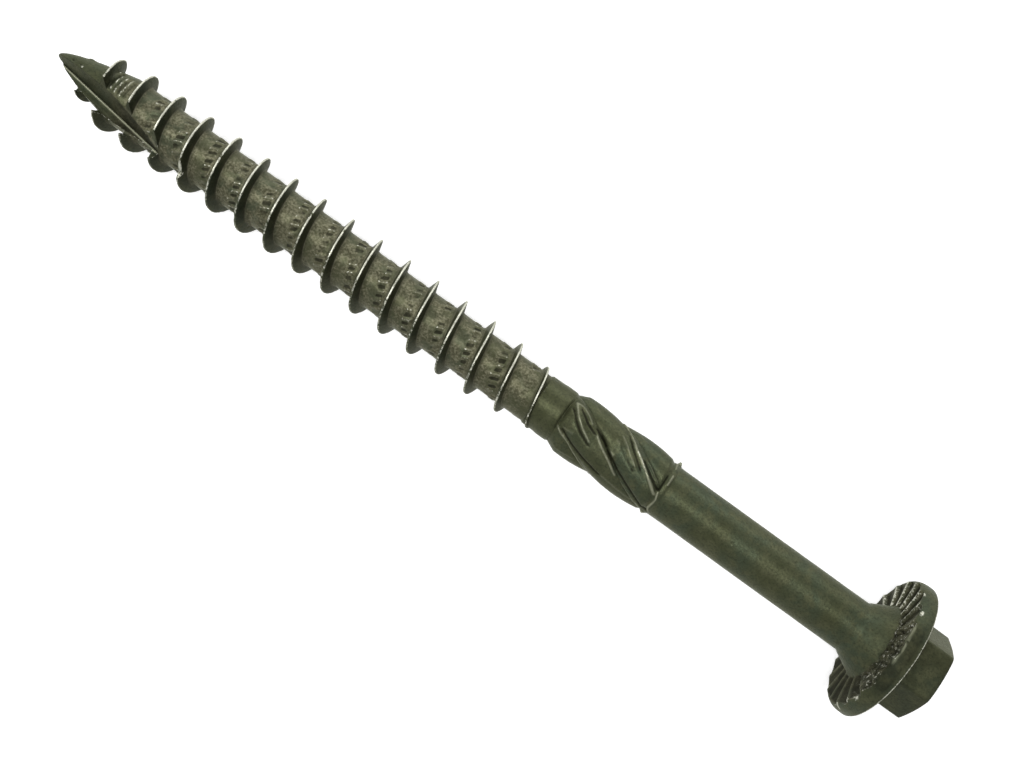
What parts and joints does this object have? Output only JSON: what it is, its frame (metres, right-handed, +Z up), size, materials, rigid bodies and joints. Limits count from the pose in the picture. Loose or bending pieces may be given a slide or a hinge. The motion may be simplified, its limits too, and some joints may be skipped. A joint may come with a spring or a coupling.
{
  "type": "hex flange timber screw",
  "caption": "Slotted-point coarse-thread timber screw with a shank cutter, plain shank, serrated flange and hex drive head, lying on its side.",
  "frame": {"origin": "on the surface the screw lies on, under the middle of its bounding box", "axes": "+X runs from the tip to the head along the lying screw, level; +Z is up. The screw's own axis climbs 2.4 degrees towards the head, because it lies on the rim of its flange and on the crest of its thread."},
  "size_m": [0.092, 0.0132, 0.0133],
  "materials": {
    "green_coated_steel": "satin dark olive green corrosion coating on steel, worn bright along the thread crests and tooth edges"
  },
  "bodies": {
    "root": {"construction_screw": "green_coated_steel"}
  },
  "joints": []
}
